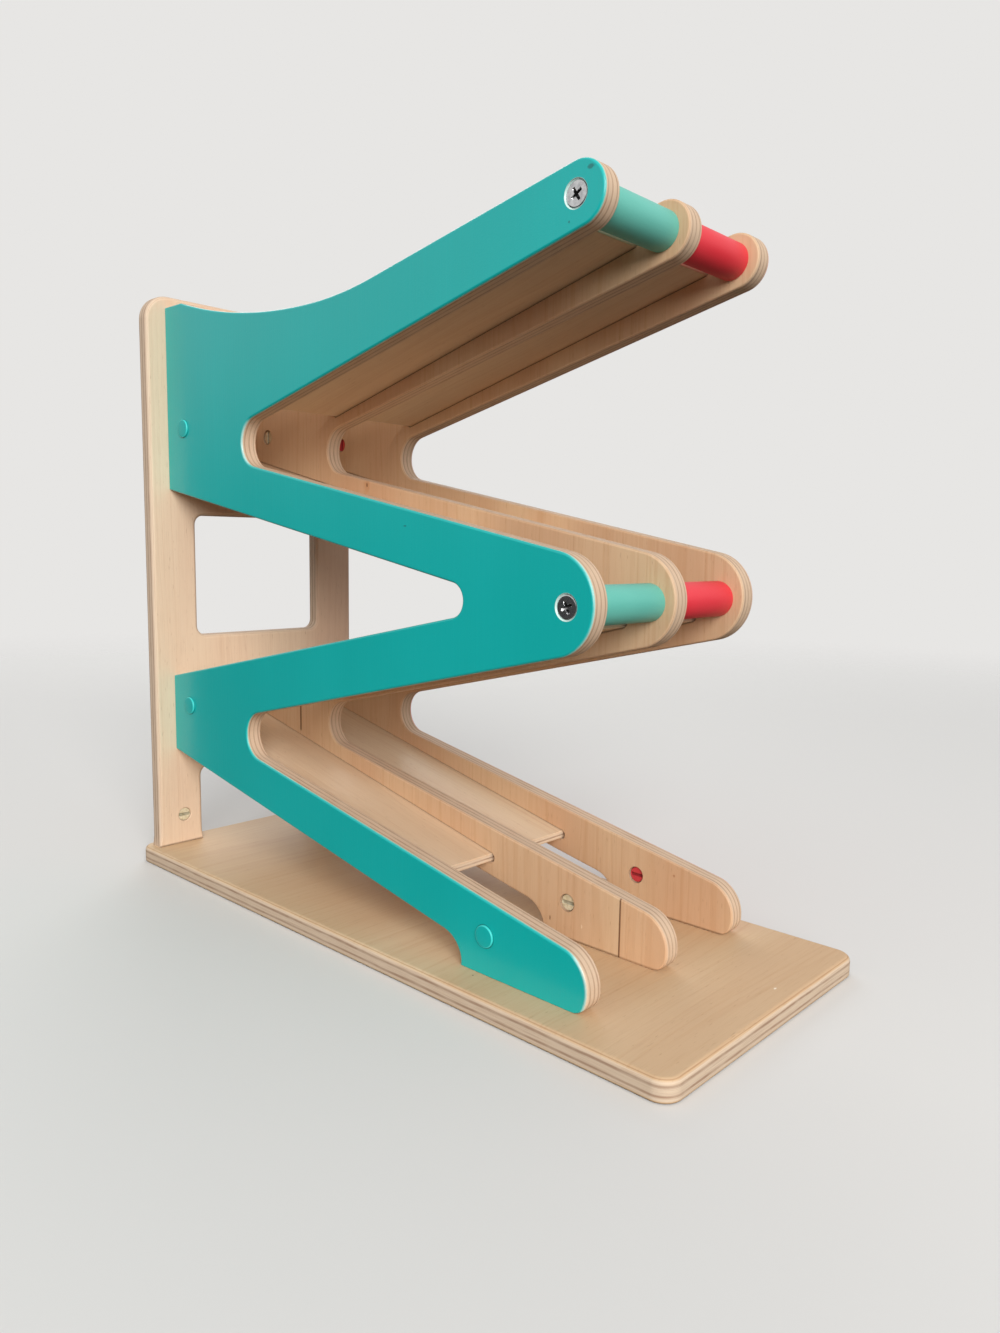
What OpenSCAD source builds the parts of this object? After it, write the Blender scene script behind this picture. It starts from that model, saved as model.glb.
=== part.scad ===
// Two-lane zig-zag car ramp: three plywood panels on a base and a back panel carry sloping track boards.
// The origin is under the centre of the base, +X points to the front where the cars roll out, +Z is up.

/* [Plywood] */
// Thickness of the three zig-zag panels
side_t = 9; // [7:0.5:14]
// Thickness of the back panel
back_t = 9; // [7:0.5:14]
// Thickness of the base board
base_t = 9; // [7:0.5:16]
// Thickness of the track boards
track_t = 4.5; // [3:0.5:6]

/* [Lanes] */
// Clear width of one lane between its panels
lane_w = 45; // [40:1:60]

/* [Base board] */
// Base length behind the back panel
base_tail = 5.5; // [2:0.5:40]
// Base length in front of the feet
base_apron = 50; // [15:1:120]
// Base width past each side of the back panel
base_lip = 5; // [1:1:30]
// Radius of the base corners
base_r = 8; // [3:1:20]

/* [Back panel] */
// Height of the back panel above the base
back_h = 312; // [306:1:350]
// Back panel width past each outer zig-zag panel
back_lip = 11.5; // [4:0.5:30]
// Radius of the top corners
back_r = 14; // [3:1:25]
// Width of the two rails and legs beside the openings
rail_w = 27.6; // [20:0.2:34]
// Height of the window sill above the base
window_sill = 123; // [104:1:132]
// Height of the window
window_h = 69.5; // [40:0.5:88]
// Height of the arch between the legs
arch_h = 44; // [25:1:58]
// Radius of the corners of the window and the arch
opening_r = 5.5; // [2:0.5:12]

/* [Zig-zag outline] */
// Depth of the panels from the back panel to their front ends
panel_d = 303; // [285:1:325]
// Height of the rear top edge above the base
rear_top_h = 305.5; // [300:0.5:311]
// Length of the level shelf at the rear top
shelf_l = 16.5; // [5:0.5:30]
// Distance from the back panel to the lowest point of the dip in the top edge
dip_at = 133; // [115:1:150]
// Height of the lowest point of the dip above the base
dip_h = 288; // [284:0.5:294]
// Length of the straight top edge between the dip and the rounded top end
top_run = 113; // [60:1:125]
// Height of the rounded top end's centre above the base
top_end_h = 301.4; // [294:0.1:310]
// Radius of the rounded top end
top_end_r = 11.7; // [10:0.1:15]
// Height of the upper mouth's centre above the base
upper_mouth_h = 228; // [220:0.5:238]
// Height of the lower mouth's centre above the base
lower_mouth_h = 76.9; // [70:0.1:84]
// Radius at the end of both mouths
mouth_r = 12.5; // [8:0.1:16]
// Wood left between the back panel and the end of both mouths
mouth_wall = 74.4; // [60:0.1:90]
// Height of the nose's centre above the base
nose_h = 156.4; // [150:0.1:164]
// Radius of the nose
nose_r = 20.4; // [16:0.1:26]
// Height of the rear notch's centre above the base
notch_h = 155.4; // [150:0.1:162]
// Radius at the end of the rear notch
notch_r = 7.4; // [4:0.1:12]
// Wood left between the rear notch and the front of the nose
notch_wall = 67.5; // [55:0.5:85]
// Height of the upper rear block's bottom corner above the base
upper_block_h = 206.3; // [198:0.1:214]
// Height of the lower rear block's top corner above the base
lower_block_top = 100.6; // [95:0.1:110]
// Height of the lower rear block's bottom corner above the base
lower_block_h = 57.2; // [50:0.1:64]
// Length of the foot on the base
foot_l = 66; // [58:0.5:80]
// Radius of the hollow behind the foot
heel_r = 12.9; // [8:0.1:16]
// Height of that hollow's centre above the base
heel_h = 0.5; // [0.2:0.1:4]
// Radius of the foot's upper front corner
brow_r = 15.3; // [10:0.1:20]
// Height of that corner's centre above the base
brow_h = 9.4; // [8:0.1:13]
// Radius of the foot's lower front corner
toe_r = 8; // [3:0.1:8.8]
// Reach of the feet in front of the nose
foot_past = 2; // [0:0.1:6]

/* [Tracks] */
// Free drop behind the tracks that run to the rear
rear_drop = 82.3; // [75:0.1:100]
// Free drop in front of the tracks that run to the front
front_drop = 99.6; // [85:0.1:120]
// Gap between a dowel and the end of the track behind it
dowel_gap = 4.6; // [2:0.1:10]
// Rear-running track above its arm's lower edge, at its rear end
skirt_rear = 6.3; // [4:0.1:9]
// Top track above its arm's lower edge, at its front end
skirt_front = 11.8; // [8:0.1:13]
// Lower rear-running track above its arm's lower edge, at its front end
nose_skirt = 10.4; // [7:0.1:12]
// Front-running track below its arm's upper edge, at the mouth
curb_rear = 8.2; // [4:0.1:11]
// Front-running track below its arm's upper edge, at its front end
curb_front = 12.5; // [8:0.1:15]
// Depth of the grooves that hold the tracks
groove_in = 3; // [1.5:0.1:3.3]
// Clearance of a track in its grooves, on each side
track_gap = 0.15; // [0.05:0.05:0.4]

/* [Dowels and screws] */
// Diameter of the painted dowels
dowel_d = 16; // [12:0.5:18]
// Distance from the panels' front to the dowel axes
dowel_in = 12.9; // [11:0.1:15]
// Nose dowel axis below the nose's centre
dowel_down = 0.6; // [0:0.1:4]
// Diameter of the wooden pins that join each pair of dowels through the middle panel
pin_d = 6; // [4:0.5:8]
// Depth of a pin in each dowel
pin_in = 11; // [6:1:14]
// Diameter of a dowel screw
screw_d = 4.5; // [3.5:0.1:6]
// Diameter of a screw's countersunk head
screw_head_d = 9.4; // [8:0.1:12]
// Height of a screw's countersunk head
screw_head_h = 3; // [2:0.1:4]
// Depth of a screw in its dowel
screw_in = 22; // [15:1:25]
// Width of the blades of the screw's cross recess
cross_w = 1.3; // [0.8:0.1:2]
// Length of the cross recess
cross_l = 5.6; // [3.5:0.1:7]
// Depth of the recesses in screw and bolt heads
recess_h = 1.8; // [1:0.1:2.5]

/* [Bolts and barrel nuts] */
// Diameter of the barrel nuts
nut_d = 7.4; // [6:0.1:8.5]
// Distance from a joint face to the axis of the barrel nut behind it
nut_in = 17; // [14:0.5:22]
// Diameter of the painted cap of an outer panel's nut
cap_d = 10; // [9:0.1:12]
// Height of that cap on the outer face
cap_h = 0.9; // [0.3:0.1:1.5]
// Slotted end of a nut, sunk below its face
nut_sunk = 0.7; // [0.1:0.1:1.2]
// Width of the slot in a nut's end
slot_w = 1.4; // [0.8:0.1:2.4]
// Depth of the slot in a nut's end
slot_h = 1.2; // [0.6:0.1:2]
// Diameter of the bolts
bolt_d = 4; // [3:0.5:5]
// Diameter of a bolt's countersunk head
bolt_head_d = 8; // [7:0.5:10]
// Height of a bolt's countersunk head
bolt_head_h = 2.6; // [2:0.1:3.5]
// Size of a bolt's hexagon socket, across its corners
socket_d = 3.2; // [2:0.1:3.6]
// Bolt length past the far side of its nut
bolt_tail = 1.5; // [0.5:0.5:4]
// Upper nuts above the upper rear block's bottom corner
upper_nut_up = 32.7; // [20:0.1:60]
// Lower nuts below the lower rear block's top corner
lower_nut_down = 15.7; // [10:0.1:18]
// Foot nuts behind the panels' front
foot_nut_back = 52; // [45:0.5:58]
// Leg nuts inside the back panel's side edges
leg_nut_in = 16; // [10:0.5:18]
// Radial clearance of pins, screws, bolts and nuts in their holes
hole_gap = 0.15; // [0.05:0.05:0.3]
// Heads sunk below the face around them
head_sunk = 0.3; // [0.1:0.1:1]

/* [Hidden] */

$fn = 64;
arc_sag = 0.02;      // largest distance between an outline's arc and its chords
through = 1;         // how far a cutter runs past the face it opens
birch = "#dcb68c";
teal = "#2fa8a3";
mint = "#7fcdbb";
coral = "#ee4b52";
steel = "#b9bcc0";
brass = "#c9b27c";

// Places of the panels across the ramp
lane_pitch = lane_w + side_t;
outer_y = lane_pitch + side_t / 2;
back_w = 2 * (outer_y + back_lip);
base_w = back_w + 2 * base_lip;
base_l = base_tail + back_t + panel_d + base_apron;
// Places along the ramp
rear_x = -base_l / 2 + base_tail;
back_x = rear_x + back_t;
front_x = back_x + panel_d;
dowel_x = front_x - dowel_in;
nut_x = back_x + nut_in;
foot_nut_x = front_x - foot_nut_back;
leg_nut_y = back_w / 2 - leg_nut_in;
// Heights above the ground
top_dowel_z = base_t + top_end_h;
nose_dowel_z = base_t + nose_h - dowel_down;
upper_nut_z = base_t + upper_block_h + upper_nut_up;
lower_nut_z = base_t + lower_block_top - lower_nut_down;
low_nut_z = base_t + nut_in;
bolt_l = nut_in + nut_d / 2 + bolt_tail;

// Outlines. A wheel is [x, z, r] in the outline's plane. An outline runs anticlockwise round its wheels:
// r is positive at an outer corner, negative at an inner one and 0 at a sharp one.

// Heading, in degrees, of the straight that leaves wheel p and meets wheel q
function heading(p, q) =
    let (d = [q.x - p.x, q.y - p.y], lean = (q.z - p.z) / norm(d))
    atan2(d.y, d.x) - asin(max(-1, min(1, lean)));
// Point of wheel w where a straight of heading h touches it
function touch(w, h) = [w.x + w.z * sin(h), w.y - w.z * cos(h)];
// Straight edge between two wheels, and its height at x
function edge(p, q) = let (h = heading(p, q)) [touch(p, h), touch(q, h)];
function level(e, x) = e[0].y + (x - e[0].x) * (e[1].y - e[0].y) / (e[1].x - e[0].x);
// Turn from heading a to heading b round a wheel of radius r
function turn(a, b, r) = r > 0 ? (b - a + 720) % 360 : -((a - b + 720) % 360);
// Points of the arc that a wheel adds between the headings a and b
function arc(w, a, b) =
    let (sweep = turn(a, b, w.z), step = 2 * acos(1 - arc_sag / max(abs(w.z), 1)),
         n = max(1, ceil(abs(sweep) / step)))
    w.z == 0 ? [[w.x, w.y]] : [for (k = [0 : n]) touch(w, a + sweep * k / n)];
function distinct(points) =
    let (n = len(points))
    [for (i = [0 : n - 1]) if (norm(points[i] - points[(i + n - 1) % n]) > arc_sag / 2) points[i]];
function outline(wheels) =
    let (n = len(wheels))
    distinct([for (i = [0 : n - 1])
        let (before = wheels[(i + n - 1) % n], w = wheels[i], after = wheels[(i + 1) % n])
        each arc(w, heading(before, w), heading(w, after))]);
// Wheels of a rectangle between two corners, with one corner radius
function rectangle(low, high, r) = [
    [low.x + r, low.y + r, r], [high.x - r, low.y + r, r],
    [high.x - r, high.y - r, r], [low.x + r, high.y - r, r]
];

// Wheels of the zig-zag panel, seen from the left, from the lower rear corner round to the front and the top
shelf = [back_x + shelf_l, base_t + rear_top_h, 0];
heel = [front_x - foot_l - heel_r, base_t + heel_h, -heel_r];
heel_corner = [front_x - foot_l, base_t, 0];
toe = [front_x + foot_past - toe_r, base_t + toe_r, toe_r];
brow = [front_x + foot_past - brow_r, base_t + brow_h, brow_r];
lower_mouth = [back_x + mouth_wall + mouth_r, base_t + lower_mouth_h, -mouth_r];
nose = [front_x - nose_r, base_t + nose_h, nose_r];
upper_mouth = [back_x + mouth_wall + mouth_r, base_t + upper_mouth_h, -mouth_r];
top_end = [front_x - top_end_r, base_t + top_end_h, top_end_r];
dip_low = [back_x + dip_at, base_t + dip_h, 0];
rear_rise = shelf.y - dip_low.y;
rear_r = (pow(dip_low.x - shelf.x, 2) + pow(rear_rise, 2)) / (2 * rear_rise);
front_rise = top_end.y - dip_low.y;
front_r = (pow(top_end.x - dip_low.x, 2) + pow(front_rise, 2) - pow(top_end_r, 2) - pow(top_run, 2))
    / (2 * (front_rise + top_end_r));
dip_rear = [dip_low.x, dip_low.y + rear_r, -rear_r];
dip_front = [dip_low.x, dip_low.y + front_r, -front_r];
notch = [front_x - notch_wall - notch_r, base_t + notch_h, -notch_r];
zigzag = [
    [back_x, base_t + lower_block_h, 0], heel, heel_corner, toe, brow, lower_mouth, nose, upper_mouth, top_end,
    dip_front, dip_low, dip_rear, shelf, [back_x, base_t + rear_top_h, 0],
    [back_x, base_t + upper_block_h, 0], notch, [back_x, base_t + lower_block_top, 0]
];

// Tracks. A track is [x, z, slope, length]: the rear end of its middle line, its slope and its length.
// It lies side of a guide surface, 1 above or -1 below, that runs from height za at xa to zb at xb.
function track(xa, za, xb, zb, side, from, to) =
    let (slope = atan2(zb - za, xb - xa), half = side * track_t / 2)
    [from - half * sin(slope), za + (from - xa) * tan(slope) + half * cos(slope),
     slope, (to - from) / cos(slope)];
// Rear-running track over an arm's lower edge, with its front end skirt above that edge
function return_track(under, skirt) =
    let (from = back_x + rear_drop, to = dowel_x - dowel_d / 2 - dowel_gap)
    track(from, level(under, from) + skirt_rear, to, level(under, to) + skirt, 1, from, to);
// Front-running track under an arm's upper edge, from the back panel to the front drop
function feed_track(over, mouth) =
    let (to = front_x - front_drop, za = level(over, mouth.x) - curb_rear, zb = level(over, to) - curb_front,
         slope = atan2(zb - za, to - mouth.x))
    track(mouth.x, za, to, zb, -1, back_x + track_gap - track_t * sin(slope), to);
track_levels = [
    return_track(edge(upper_mouth, top_end), skirt_front),
    feed_track(edge(nose, upper_mouth), upper_mouth),
    return_track(edge(lower_mouth, nose), nose_skirt),
    feed_track(edge(brow, lower_mouth), lower_mouth)
];
rear_open = [false, true, false, true];    // a front-running track's groove is open at the back panel
groove_h = track_t + 2 * track_gap;
board_w = lane_w + 2 * (groove_in - track_gap);

module on_track(t) {
    translate([t[0], 0, t[1]]) rotate([0, -t[2], 0]) children();
}

// Groove for one track, cut into the face at y on the side that the sign dir gives
module groove(t, open_rear, y, dir) {
    low_y = dir > 0 ? y - through : y - groove_in;
    deep = groove_in + through;
    rear = open_rear ? -2 * groove_h : 0;
    on_track(t) translate([0, low_y, 0]) {
        translate([rear, 0, -groove_h / 2]) cube([t[3] - rear, deep, groove_h]);
        for (x = open_rear ? [t[3]] : [0, t[3]])
            translate([x, 0, 0]) rotate([-90, 0, 0]) cylinder(d = groove_h, h = deep);
    }
}

module grooves(y, dir) {
    for (i = [0 : 3]) groove(track_levels[i], rear_open[i], y, dir);
}

// Round bar along +Y from y0 to y1
module bar_y(x, z, d, y0, y1) {
    translate([x, y0, z]) rotate([-90, 0, 0]) cylinder(d = d, h = y1 - y0);
}

// Bolt along +Z from the joint side: its head sits at the bottom of a board of thickness t, whose top is z = 0
module bolt(t) {
    difference() {
        union() {
            translate([0, 0, head_sunk - t]) cylinder(d1 = bolt_head_d, d2 = bolt_d, h = bolt_head_h);
            translate([0, 0, head_sunk - t]) cylinder(d = bolt_d, h = t - head_sunk + bolt_l);
        }
        translate([0, 0, head_sunk - t - through]) cylinder(d = socket_d, h = recess_h + through, $fn = 6);
    }
}

// Hole for that bolt through its board
module bolt_seat(t) {
    grow = 2 * hole_gap;
    translate([0, 0, head_sunk - t]) cylinder(d1 = bolt_head_d + grow, d2 = bolt_d + grow, h = bolt_head_h);
    translate([0, 0, -t - through]) cylinder(d = bolt_head_d + grow, h = head_sunk + through);
    translate([0, 0, -t]) cylinder(d = bolt_d + grow, h = t + through);
}

// Blind hole for the bolt's shank beyond the joint
module bolt_hole() {
    translate([0, 0, -through]) cylinder(d = bolt_d + 2 * hole_gap, h = bolt_l + through + hole_gap);
}

// Places of the bolts that hold one panel at y to the back panel, and of the bolts up through the base
module at_back_bolts(y) {
    for (z = [upper_nut_z, lower_nut_z]) translate([back_x, y, z]) rotate([0, 90, 0]) children();
}

module at_foot_bolt(y) {
    translate([foot_nut_x, y, base_t]) children();
}

module at_leg_bolts() {
    for (side = [-1, 1]) translate([rear_x + back_t / 2, side * leg_nut_y, base_t]) children();
}

// Barrel nut along +Z from z = 0, slotted at its top, with its thread along X at height thread_z. A cap is below z = 0.
module barrel_nut(l, thread_z, capped = false) {
    difference() {
        union() {
            cylinder(d = nut_d, h = l);
            if (capped) translate([0, 0, -cap_h]) cylinder(d = cap_d, h = cap_h);
        }
        translate([-slot_w / 2, -nut_d, l - slot_h]) cube([slot_w, 2 * nut_d, slot_h + through]);
        translate([-nut_d, 0, thread_z]) rotate([0, 90, 0]) cylinder(d = bolt_d + 2 * hole_gap, h = 2 * nut_d);
    }
}

// Nuts of one panel, whose middle plane is y: dir points to the slotted ends, and the other ends are capped or sunk
module panel_nuts(y, dir, capped) {
    blank_in = capped ? 0 : nut_sunk;
    l = side_t - nut_sunk - blank_in;
    for (spot = [[nut_x, upper_nut_z, 0], [nut_x, lower_nut_z, 0], [foot_nut_x, low_nut_z, 90]])
        translate([spot[0], y - dir * (side_t / 2 - blank_in), spot[1]])
            rotate([-90 * dir, 0, 0]) rotate([0, 0, spot[2]]) barrel_nut(l, side_t / 2 - blank_in, capped);
}

// One zig-zag panel with its middle plane at y, with the holes for its nuts and bolts
module zigzag_panel(y) {
    nut_hole = nut_d + 2 * hole_gap;
    difference() {
        translate([0, y + side_t / 2, 0]) rotate([90, 0, 0]) linear_extrude(side_t) polygon(outline(zigzag));
        for (spot = [[nut_x, upper_nut_z], [nut_x, lower_nut_z], [foot_nut_x, low_nut_z]])
            bar_y(spot[0], spot[1], nut_hole, y - side_t / 2 - through, y + side_t / 2 + through);
        at_back_bolts(y) bolt_hole();
        at_foot_bolt(y) bolt_hole();
    }
}

// Screw along +Z into a dowel, with its head flush in the panel's outer face, side_t in front of the dowel
module dowel_screw() {
    difference() {
        union() {
            translate([0, 0, head_sunk - side_t]) cylinder(d1 = screw_head_d, d2 = screw_d, h = screw_head_h);
            translate([0, 0, head_sunk - side_t])
                cylinder(d = screw_d, h = side_t - head_sunk + screw_in - screw_d);
            translate([0, 0, screw_in - screw_d]) cylinder(d1 = screw_d, d2 = screw_d / 4, h = screw_d);
        }
        for (a = [0, 90])
            rotate([0, 0, a]) translate([-cross_l / 2, -cross_w / 2, head_sunk - side_t - through])
                cube([cross_l, cross_w, recess_h + through]);
    }
}

module screw_seat() {
    grow = 2 * hole_gap;
    translate([0, 0, head_sunk - side_t])
        cylinder(d1 = screw_head_d + grow, d2 = screw_d + grow, h = screw_head_h);
    translate([0, 0, -side_t - through]) cylinder(d = screw_head_d + grow, h = head_sunk + through);
    translate([0, 0, -side_t]) cylinder(d = screw_d + grow, h = side_t + through);
}

// Frame of the screw at height z that enters the outer end of a lane's dowel: side is -1 left, 1 right
module at_dowel_screw(side, z) {
    translate([dowel_x, side * (lane_pitch - side_t / 2), z]) rotate([90 * side, 0, 0]) children();
}

// One outer panel with the countersunk holes for its two dowel screws
module outer_panel(side) {
    difference() {
        zigzag_panel(side * lane_pitch);
        grooves(side * (lane_pitch - side_t / 2), side);
        for (z = [top_dowel_z, nose_dowel_z]) at_dowel_screw(side, z) screw_seat();
    }
}

// Track i, counted from the top, of one lane
module lane_track(side, i) {
    t = track_levels[i];
    on_track(t)
        translate([0, side * lane_pitch / 2 - board_w / 2, -track_t / 2]) cube([t[3], board_w, track_t]);
}

// Dowel across one lane, with a pilot hole for its screw and a hole for the pin
module dowel(side, z) {
    y0 = side * lane_pitch / 2 - lane_w / 2;
    pin_y = side * side_t / 2;
    difference() {
        bar_y(dowel_x, z, dowel_d, y0, y0 + lane_w);
        at_dowel_screw(side, z)
            translate([0, 0, -through]) cylinder(d = screw_d + 2 * hole_gap, h = screw_in + hole_gap + through);
        translate([dowel_x, pin_y, z]) rotate([-90 * side, 0, 0])
            translate([0, 0, -through]) cylinder(d = pin_d + 2 * hole_gap, h = pin_in + hole_gap + through);
    }
}

// Wooden pin through the middle panel into both dowels at height z
module dowel_pin(z) {
    bar_y(dowel_x, z, pin_d, -side_t / 2 - pin_in, side_t / 2 + pin_in);
}

// Sub-parts

module base_board() color(birch) {
    difference() {
        linear_extrude(base_t)
            polygon(outline(rectangle([-base_l / 2, -base_w / 2], [base_l / 2, base_w / 2], base_r)));
        for (y = [-lane_pitch, 0, lane_pitch]) at_foot_bolt(y) bolt_seat(base_t);
        at_leg_bolts() bolt_seat(base_t);
    }
}

module back_panel() color(birch) {
    side_y = back_w / 2;
    open_y = side_y - rail_w;
    top_z = base_t + back_h;
    arch_z = base_t + arch_h;
    sill_z = base_t + window_sill;
    body = [
        [-side_y, base_t, 0], [-open_y, base_t, 0],
        [-open_y + opening_r, arch_z - opening_r, -opening_r],
        [open_y - opening_r, arch_z - opening_r, -opening_r],
        [open_y, base_t, 0], [side_y, base_t, 0],
        [side_y - back_r, top_z - back_r, back_r], [-side_y + back_r, top_z - back_r, back_r]
    ];
    window = rectangle([-open_y, sill_z], [open_y, sill_z + window_h], opening_r);
    difference() {
        translate([rear_x, 0, 0]) rotate([90, 0, 90]) linear_extrude(back_t) difference() {
            polygon(outline(body));
            polygon(outline(window));
        }
        for (y = [-lane_pitch, 0, lane_pitch]) at_back_bolts(y) bolt_seat(back_t);
        at_leg_bolts() bolt_hole();
        at_leg_bolts() translate([-back_t / 2 - through, 0, nut_in]) rotate([0, 90, 0])
            cylinder(d = nut_d + 2 * hole_gap, h = back_t + 2 * through);
    }
}

module left_side_panel() color(teal) outer_panel(-1);

module middle_panel() color(birch) {
    difference() {
        zigzag_panel(0);
        grooves(-side_t / 2, 1);
        grooves(side_t / 2, -1);
        for (z = [top_dowel_z, nose_dowel_z])
            bar_y(dowel_x, z, pin_d + 2 * hole_gap, -side_t / 2 - through, side_t / 2 + through);
    }
}

module right_side_panel() color(coral) outer_panel(1);

module left_track_top() color(birch) lane_track(-1, 0);
module left_track_upper() color(birch) lane_track(-1, 1);
module left_track_lower() color(birch) lane_track(-1, 2);
module left_track_bottom() color(birch) lane_track(-1, 3);
module right_track_top() color(birch) lane_track(1, 0);
module right_track_upper() color(birch) lane_track(1, 1);
module right_track_lower() color(birch) lane_track(1, 2);
module right_track_bottom() color(birch) lane_track(1, 3);

module left_top_dowel() color(mint) dowel(-1, top_dowel_z);
module right_top_dowel() color(coral) dowel(1, top_dowel_z);
module left_nose_dowel() color(mint) dowel(-1, nose_dowel_z);
module right_nose_dowel() color(coral) dowel(1, nose_dowel_z);

module top_dowel_pin() color(birch) dowel_pin(top_dowel_z);
module nose_dowel_pin() color(birch) dowel_pin(nose_dowel_z);

module left_top_screw() color(steel) at_dowel_screw(-1, top_dowel_z) dowel_screw();
module right_top_screw() color(steel) at_dowel_screw(1, top_dowel_z) dowel_screw();
module left_nose_screw() color(steel) at_dowel_screw(-1, nose_dowel_z) dowel_screw();
module right_nose_screw() color(steel) at_dowel_screw(1, nose_dowel_z) dowel_screw();

module left_barrel_nuts() color(teal) panel_nuts(-lane_pitch, 1, true);
module middle_barrel_nuts() color(brass) panel_nuts(0, -1, false);
module right_barrel_nuts() color(coral) panel_nuts(lane_pitch, -1, true);

module leg_barrel_nuts() color(brass) {
    at_leg_bolts() translate([nut_sunk - back_t / 2, 0, nut_in]) rotate([0, 90, 0])
        barrel_nut(back_t - 2 * nut_sunk, back_t / 2 - nut_sunk);
}

module left_back_bolts() color(steel) at_back_bolts(-lane_pitch) bolt(back_t);
module middle_back_bolts() color(steel) at_back_bolts(0) bolt(back_t);
module right_back_bolts() color(steel) at_back_bolts(lane_pitch) bolt(back_t);

module foot_bolts() color(steel) {
    for (y = [-lane_pitch, 0, lane_pitch]) at_foot_bolt(y) bolt(base_t);
}

module leg_bolts() color(steel) at_leg_bolts() bolt(base_t);

base_board();
back_panel();
left_side_panel();
middle_panel();
right_side_panel();
left_track_top();
left_track_upper();
left_track_lower();
left_track_bottom();
right_track_top();
right_track_upper();
right_track_lower();
right_track_bottom();
left_top_dowel();
right_top_dowel();
left_nose_dowel();
right_nose_dowel();
top_dowel_pin();
nose_dowel_pin();
left_top_screw();
right_top_screw();
left_nose_screw();
right_nose_screw();
left_barrel_nuts();
middle_barrel_nuts();
right_barrel_nuts();
leg_barrel_nuts();
left_back_bolts();
middle_back_bolts();
right_back_bolts();
foot_bolts();
leg_bolts();
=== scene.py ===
import math

import bpy
import numpy as np
from mathutils import Matrix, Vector
from mathutils.geometry import delaunay_2d_cdt


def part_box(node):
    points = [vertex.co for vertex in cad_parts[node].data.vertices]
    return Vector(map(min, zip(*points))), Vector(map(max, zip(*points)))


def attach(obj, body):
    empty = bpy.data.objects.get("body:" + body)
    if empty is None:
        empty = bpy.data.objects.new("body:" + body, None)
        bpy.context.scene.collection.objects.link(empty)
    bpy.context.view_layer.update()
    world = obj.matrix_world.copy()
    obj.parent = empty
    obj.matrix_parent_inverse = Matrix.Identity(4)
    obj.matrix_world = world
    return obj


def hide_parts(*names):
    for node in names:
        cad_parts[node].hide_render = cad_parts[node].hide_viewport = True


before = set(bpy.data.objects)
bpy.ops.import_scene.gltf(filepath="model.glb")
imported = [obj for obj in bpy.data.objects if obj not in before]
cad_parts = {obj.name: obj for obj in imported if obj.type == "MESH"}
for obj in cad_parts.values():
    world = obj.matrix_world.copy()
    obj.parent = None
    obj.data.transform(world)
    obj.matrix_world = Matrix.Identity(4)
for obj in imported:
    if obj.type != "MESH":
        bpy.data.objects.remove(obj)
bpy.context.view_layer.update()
print("frame loaded,", len(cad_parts), "nodes")


def spanOf(node):  # lowest and highest corner of a CAD node
    low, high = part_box(node)
    return np.array(low), np.array(high)


def middleOf(node):
    low, high = spanOf(node)
    return (low + high) / 2


def unit(vector):
    return np.array(vector) / np.linalg.norm(vector)


def circle(steps):  # angles of a full turn
    return np.linspace(0, 2 * math.pi, steps, endpoint=False)


def put(name, data):  # a new object in the scene
    made = bpy.data.objects.new(name, data)
    bpy.context.scene.collection.objects.link(made)
    return made


def stand(thing, spot, right, back):  # puts a camera or lamp at a spot, looking away from back
    turn = Matrix(np.stack([right, np.cross(back, right), back], 1).tolist()).to_4x4()
    thing.matrix_world = Matrix.Translation(spot) @ turn


baseLow, baseHigh = spanOf("base_board")
backLow, backHigh = spanOf("back_panel")
sideLow, sideHigh = spanOf("left_side_panel")
baseTop = baseHigh[2]
backFace = backHigh[0]  # the face that the zig-zag panels butt against
backX = middleOf("back_panel")[0]  # the middle of the back panel
sideThick = sideHigh[1] - sideLow[1]
panelY = {side: spanOf(side)[0][1] + sideThick / 2
          for side in ("left_side_panel", "middle_panel", "right_side_panel")}


# camera: where the photograph was taken from, focal length in pixels of its 1333 pixel height
view = {
    "eye": (0.34818, -0.33840, 0.18760),
    "right": (0.73105, 0.68215, 0.01538),
    "down": (0.09625, -0.08078, -0.99207),
    "focal": 971.83,
    "tall": 1333,
    "film": 36.0,
}


def setCamera():
    right = unit(view["right"])
    lens = bpy.data.cameras.new("photoView")
    lens.sensor_width = view["film"]
    lens.lens = view["film"] * view["focal"] / view["tall"]
    lens.clip_start = 0.01
    camera = put("photoView", lens)
    stand(camera, view["eye"], right, unit(np.cross(right, -np.array(view["down"]))))
    bpy.context.scene.camera = camera


setCamera()
print("camera set")


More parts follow.
